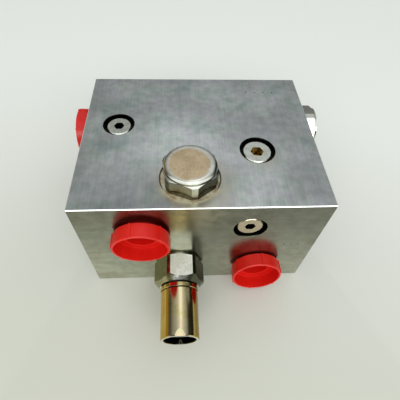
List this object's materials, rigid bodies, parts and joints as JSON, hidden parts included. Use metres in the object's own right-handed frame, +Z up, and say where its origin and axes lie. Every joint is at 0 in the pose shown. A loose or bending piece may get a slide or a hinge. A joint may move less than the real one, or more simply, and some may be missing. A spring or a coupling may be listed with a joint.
{
  "type": "hydraulic monoblock valve",
  "caption": "Steel block valve with a screw-in relief cartridge under a tubular guard, a load check valve, a spring-biased spool, hollow-hex plugs and plugged threaded ports.",
  "frame": {"origin": "centre of the block's bottom face, which is the centre of its four tapped mounting holes", "axes": "+Z up out of the top face, -Y out of the face that carries the relief cartridge, +X towards the spool cap"},
  "size_m": [0.1467, 0.1458, 0.0867],
  "materials": {
    "block_steel": "ground, lightly stained",
    "zinc_steel": "bright zinc plate, slightly yellow",
    "gold_zinc": "polished, yellow chromate",
    "red_plastic": "satin moulded polyethylene",
    "seal_rubber": "matt nitrile",
    "hardened_steel": "ground and lapped",
    "spring_steel": "drawn wire",
    "ring_plastic": "PTFE"
  },
  "bodies": {
    "valve_block": {"manifold_block": "block_steel", "gallery_seal_balls": "hardened_steel", "gauge_port_plug": "zinc_steel", "gauge_port_plug_seal": "seal_rubber", "tank_gallery_plug": "zinc_steel", "tank_gallery_plug_seal": "seal_rubber", "front_gallery_plug": "zinc_steel", "front_gallery_plug_seal": "seal_rubber", "check_cap": "zinc_steel", "check_cap_seal": "seal_rubber", "check_seat": "hardened_steel", "check_spring": "spring_steel", "spool_cap": "zinc_steel", "spool_cap_seal": "seal_rubber", "spool_spring": "spring_steel", "relief_body": "zinc_steel", "relief_body_seal": "seal_rubber", "relief_nose": "zinc_steel", "relief_nose_seal": "seal_rubber", "relief_backup_rings": "ring_plastic", "adjuster_guard": "gold_zinc"},
    "check_poppet": {"check_poppet": "hardened_steel"},
    "spool": {"spool": "hardened_steel", "damping_orifice": "zinc_steel"},
    "relief_poppet": {"relief_poppet": "hardened_steel"},
    "spring_seat": {"relief_spring_seat": "hardened_steel", "adjuster_seal": "seal_rubber", "relief_spring": "spring_steel"},
    "adjusting_screw": {"adjusting_screw": "zinc_steel"},
    "lock_nut": {"lock_nut": "zinc_steel"},
    "supply_port_plug": {"supply_port_plug": "red_plastic"},
    "tank_port_plug": {"tank_port_plug": "red_plastic"},
    "service_port_plug": {"service_port_plug": "red_plastic"}
  },
  "joints": [
    {"name": "check_poppet_lift", "type": "slide", "parent": "valve_block", "child": "check_poppet", "axis": [0, 0, 1], "range_m": [0, 0.006], "stiffness_N_per_m": 500, "springref_m": -0.005, "deforming": ["check_spring"]},
    {"name": "spool_shift", "type": "slide", "parent": "valve_block", "child": "spool", "axis": [1, 0, 0], "range_m": [0, 0.006], "stiffness_N_per_m": 6000, "springref_m": -0.004, "deforming": ["spool_spring"]},
    {"name": "relief_poppet_lift", "type": "slide", "parent": "valve_block", "child": "relief_poppet", "axis": [0, -1, 0], "range_m": [0, 0.0025], "stiffness_N_per_m": 1200, "springref_m": -0.003, "deforming": ["relief_spring"]},
    {"name": "spring_seat_travel", "type": "slide", "parent": "valve_block", "child": "spring_seat", "axis": [0, 1, 0], "range_m": [-0.003, 0.002]},
    {"name": "adjusting_screw_turn", "type": "hinge", "parent": "spring_seat", "child": "adjusting_screw", "pos_m": [-0.01265, -0.08, 0.0215], "axis": [0, 1, 0], "range_deg": [-1081, 721]},
    {"name": "lock_nut_turn", "type": "hinge", "parent": "valve_block", "child": "lock_nut", "pos_m": [-0.01265, -0.076, 0.0215], "axis": [0, 1, 0], "range_deg": [-90, 0]},
    {"name": "supply_plug_removal", "type": "slide", "parent": "valve_block", "child": "supply_port_plug", "axis": [0, -1, 0], "range_m": [0, 0.025]},
    {"name": "tank_plug_removal", "type": "slide", "parent": "valve_block", "child": "tank_port_plug", "axis": [0, -1, 0], "range_m": [0, 0.025]},
    {"name": "service_plug_removal", "type": "slide", "parent": "valve_block", "child": "service_port_plug", "axis": [-1, 0, 0], "range_m": [0, 0.025]}
  ],
  "couplings": [
    {"joint": "adjusting_screw_turn", "follows": "spring_seat_travel", "rad_per_m": 6283.2}
  ]
}
